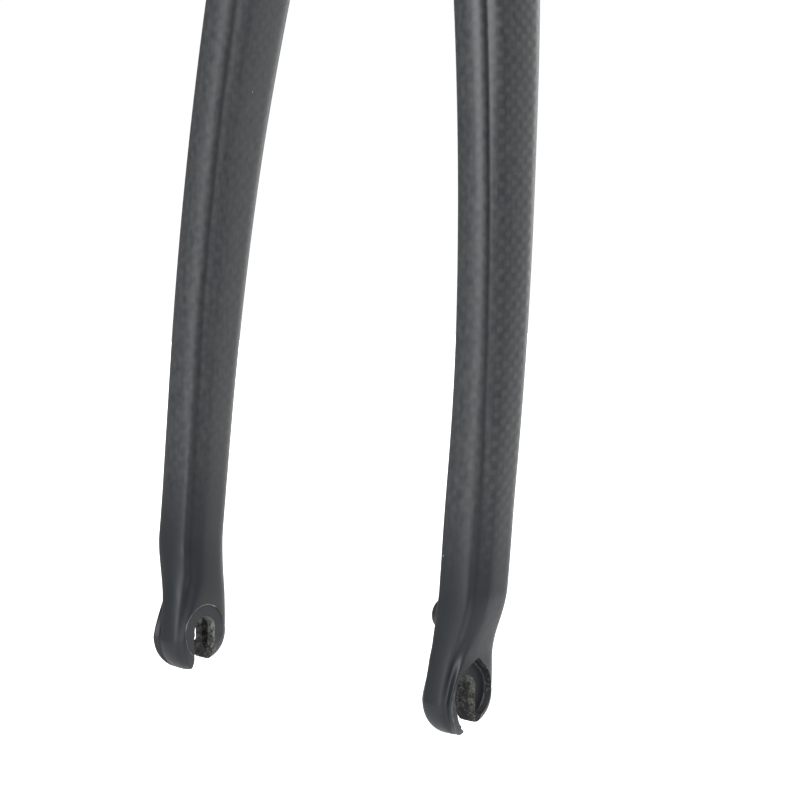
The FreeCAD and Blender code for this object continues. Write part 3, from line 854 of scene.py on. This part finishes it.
# %% Unidirectional carbon
fibre_size, bundle_size, fibre_stretch, sawn_above = 0.0004, 0.004, 0.01, 0.26475
fibre, tree, shader, place = new_material("satin_unidirectional_carbon")
_, _, place_z = xyz(tree, place)
stretched = vectors(tree, "MULTIPLY", place, (1.0, 1.0, fibre_stretch))
fibres, bundles = noise(tree, stretched, fibre_size, 2.0), noise(tree, stretched, bundle_size, 2.0)
lit = ramp(tree, product(tree, fibres, bundles), 0.12, 0.42)
sawn = maths(tree, "GREATER_THAN", place_z, sawn_above)
fill(tree, shader, {"Base Color": blend(tree, sawn, blend(tree, lit, "#222325", "#3a3b3d"), "#4b4c4a"),
                    "Roughness": ramp(tree, bundles, 0.0, 1.0, 0.32, 0.50),
                    "Normal": bump(tree, fibres, 0.15, 0.0001)})
tube_mesh.materials.append(fibre)
print("finish of the steerer:", fibre.name)

# %% [markdown]
# On the inner face of the left leg sits a threaded insert, turned from aluminium, and a black button-head screw
# closes it. Both are profiles turned about the insert's own axis, which runs across the fork. The screw's socket
# is a hexagon, so its rows change from a six-sided radius to a round one.

# %% Insert and screw
insert_h, let_in, flange_proud = 21.8, 0.4, 1.2
flange_radius, shank_radius, thread_radius, shank_length = 5.0, 3.2, 2.2, 8.0
head_radius, head_height, head_rim_height, key_half, screw_length = 4.5, 3.2, 2.2, 1.5, 6.5
insert_y = lean * insert_h
seat_row = leg_rows(np.array([insert_h]))
insert_seat = float(seat_row["x"][0] - seat_row["half_in"][0]) + let_in
insert_face = insert_seat - let_in - flange_proud
insert_turn = full_turn(72)


def turned_across(x, radii):
    """Surface about the insert's axis: radii is one column for round rows, or one radius for every direction."""
    y, h = insert_y + radii * np.cos(insert_turn), insert_h + radii * np.sin(insert_turn)
    return stacked(np.asarray(x, float)[:, None], y, h)


insert_profile = np.array([
    (insert_face + screw_length, thread_radius), (insert_face, thread_radius), (insert_face, 4.6),
    (insert_face + 0.1, 4.85), (insert_face + 0.3, flange_radius), (insert_seat, flange_radius),
    (insert_seat, shank_radius), (insert_seat + shank_length, shank_radius)])
insert_mesh = ring_mesh("insert", turned_across(insert_profile[:, 0], insert_profile[:, 1:]))

hexagon = key_half / np.cos((insert_turn + np.pi / 6) % (np.pi / 3) - np.pi / 6)
head_top, head_rim = insert_face - head_height, insert_face - head_rim_height
dome_r = np.linspace(2.1, 4.1, 9)
dome_x = head_top + (dome_r / head_radius) ** 2
below_dome = [head_rim + 0.12, head_rim + 0.5, insert_face - 0.1, insert_face, insert_face, insert_face + 6.3,
              insert_face + screw_length]
screw_x = np.concatenate([[head_top + 1.5, head_top + 0.25], dome_x, below_dome])
round_r = np.concatenate([dome_r, [4.38, head_radius, head_radius, 4.4, thread_radius, thread_radius, 2.0]])
round_rows = np.broadcast_to(round_r[:, None], (round_r.size, insert_turn.size))
screw_mesh = ring_mesh("screw", turned_across(screw_x, np.concatenate([hexagon, hexagon, round_rows])))
print("the insert's face is at x =", round(insert_face, 2), "mm")

# %% [markdown]
# The insert is satin aluminium with the fine rings that a lathe leaves, drawn 0.3 mm apart so that they show.
# The screw is blackened steel, which is dark, satin and a little uneven.

# %% Metals
ring_pitch, ring_relief = 0.0003, 0.00005
alloy, tree, shader, place = new_material("satin_turned_aluminium")
to_axis = (0.0, (rake - insert_y) / 1000, (axle_to_crown - insert_h) / 1000)
ring_place = vectors(tree, "LENGTH", vectors(tree, "MULTIPLY_ADD", place, (0.0, 1.0, 1.0), to_axis))
rings = maths(tree, "SINE", maths(tree, "MULTIPLY", ring_place, 2 * np.pi / ring_pitch))
cloudy = noise(tree, place, 0.002, 2.0)
fill(tree, shader, {"Base Color": blend(tree, cloudy, "#b9bbbd", "#dadcde"), "Metallic": 1.0,
                    "Roughness": ramp(tree, cloudy, 0.0, 1.0, 0.45, 0.60),
                    "Normal": bump(tree, rings, 0.1, ring_relief)})

blackened, tree, shader, place = new_material("blackened_steel")
cloudy = noise(tree, place, 0.0015, 3.0)
fill(tree, shader, {"Base Color": blend(tree, cloudy, "#1a1b1d", "#303236"),
                    "Roughness": ramp(tree, cloudy, 0.0, 1.0, 0.30, 0.46)})

for name, mesh, material, node, slot in (("insert", insert_mesh, alloy, "guide_insert", "insert_metal"),
                                         ("screw", screw_mesh, blackened, "guide_bolt", "screw_black")):
    mesh.materials.append(material)
    mesh.set_sharp_from_angle(angle=np.radians(35))
    piece = add_object(name, mesh)
    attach(piece, "root")
    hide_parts(node)
    print(name + ":", len(mesh.polygons), "faces")

# %% [markdown]
# The camera stands where the photographer stood: 41 degrees to the side of straight ahead, 10 degrees above, with
# a long lens. Its place and axes were fitted to the outline of both legs.

# %% Camera
scene = bpy.context.scene
camera_place = (0.66009, -0.76274, -0.13421)
right, up = np.array([0.754523, 0.656272, 0.001563]), np.array([-0.119636, 0.135204, 0.983569])
camera_data = bpy.data.cameras.new("camera")
camera_data.lens, camera_data.sensor_width, camera_data.clip_end = 146.5, 36.0, 60.0
camera = add_object("camera", camera_data)


def stand(thing, position, across, upwards):
    """Put a camera or lamp in a position, its x across and its y upwards. It looks against their product."""
    axes = np.stack([across, upwards, np.cross(across, upwards)], axis=1)
    thing.matrix_world = Matrix.Translation(position) @ Matrix(axes.tolist()).to_4x4()


stand(camera, camera_place, right, up)
bpy.context.scene.camera = camera
print("camera: a lens of", round(camera_data.lens, 1), "mm at", camera_place)

# %% [markdown]
# The photo is a studio shot on white. Here a wide pale floor, well below the fork, glows like lit paper to the
# camera. Mirrored in the coat, only a round pool behind the fork glows, which lights the flanks from below. The
# sky is white to the camera and dim to all else.

# %% Floor and background
white = (1.0, 1.0, 1.0, 1.0)
floor_gap, floor_half = 0.25, 20
pool_behind, pool_edge, pool_core, pool_glow, paper_glow = 0.9, 1.1, 0.5, 0.75, 0.8
scene.view_settings.view_transform = "Standard"
floor_level = cad_box[0][2] - floor_gap
floor_mesh = bpy.data.meshes.new("floor")
floor_corners = [(x * floor_half, y * floor_half, floor_level) for x, y in ((-1, -1), (1, -1), (1, 1), (-1, 1))]
floor_mesh.from_pydata(floor_corners, [], [(0, 1, 2, 3)])
floor = add_object("floor", floor_mesh)
floor_paint, tree, shader, place = new_material("white_floor_paint")
rays = add_node(tree, "LightPath")
from_pool = vectors(tree, "LENGTH", vectors(tree, "SUBTRACT", place, (0.0, pool_behind, floor_level)))
pool = ramp(tree, from_pool, pool_edge, pool_core, 0.0, pool_glow)
glow = maths(tree, "MAXIMUM", product(tree, rays.outputs["Is Glossy Ray"], pool),
             product(tree, rays.outputs["Is Camera Ray"], paper_glow))
fill(tree, shader, {"Base Color": linear("#f2f2f2"), "Roughness": 0.9, "Emission Color": white,
                    "Emission Strength": glow})
floor_mesh.materials.append(floor_paint)

world = bpy.data.worlds.new("studio")
scene.world = world
world.use_nodes = True
tree = world.node_tree
rays = add_node(tree, "LightPath")
sky_strength = ramp(tree, rays.outputs["Is Camera Ray"], 0.0, 1.0, 0.25, 1.0)
fill(tree, tree.nodes["Background"], {"Color": white, "Strength": sky_strength})
print("floor at z =", round(floor_level, 3), "m")

# %% [markdown]
# Three softboxes shape the legs: one ahead, and two behind that draw pale lines along their edges. An area lamp
# stands for a real diffuser, since its size sets how soft the light is.

# %% Light
lamp_target = np.array([0.0, -0.02, -0.25])


def softbox(name, azimuth, elevation, distance, width, tall, power):
    """Area lamp that looks at the middle of the legs from an azimuth, 0 being straight ahead of the fork."""
    turn, rise = np.radians(azimuth), np.radians(elevation)
    away = np.array([np.sin(turn) * np.cos(rise), -np.cos(turn) * np.cos(rise), np.sin(rise)])
    across_lamp = np.array([np.cos(turn), np.sin(turn), 0.0])
    data = bpy.data.lights.new(name, "AREA")
    data.shape, data.size, data.size_y, data.energy = "RECTANGLE", width, tall, power
    lamp = add_object(name, data)
    stand(lamp, (lamp_target + distance * away).tolist(), across_lamp, np.cross(away, across_lamp))
    return lamp


lamps = [softbox("front_softbox", 22.0, 30.0, 1.9, 1.0, 1.4, 45.0),
         softbox("back_right_softbox", 175.0, 15.0, 2.0, 1.0, 2.0, 23.0),
         softbox("back_left_softbox", -130.0, 15.0, 2.0, 1.0, 2.0, 12.0)]
print("lamps:", [lamp.name for lamp in lamps])
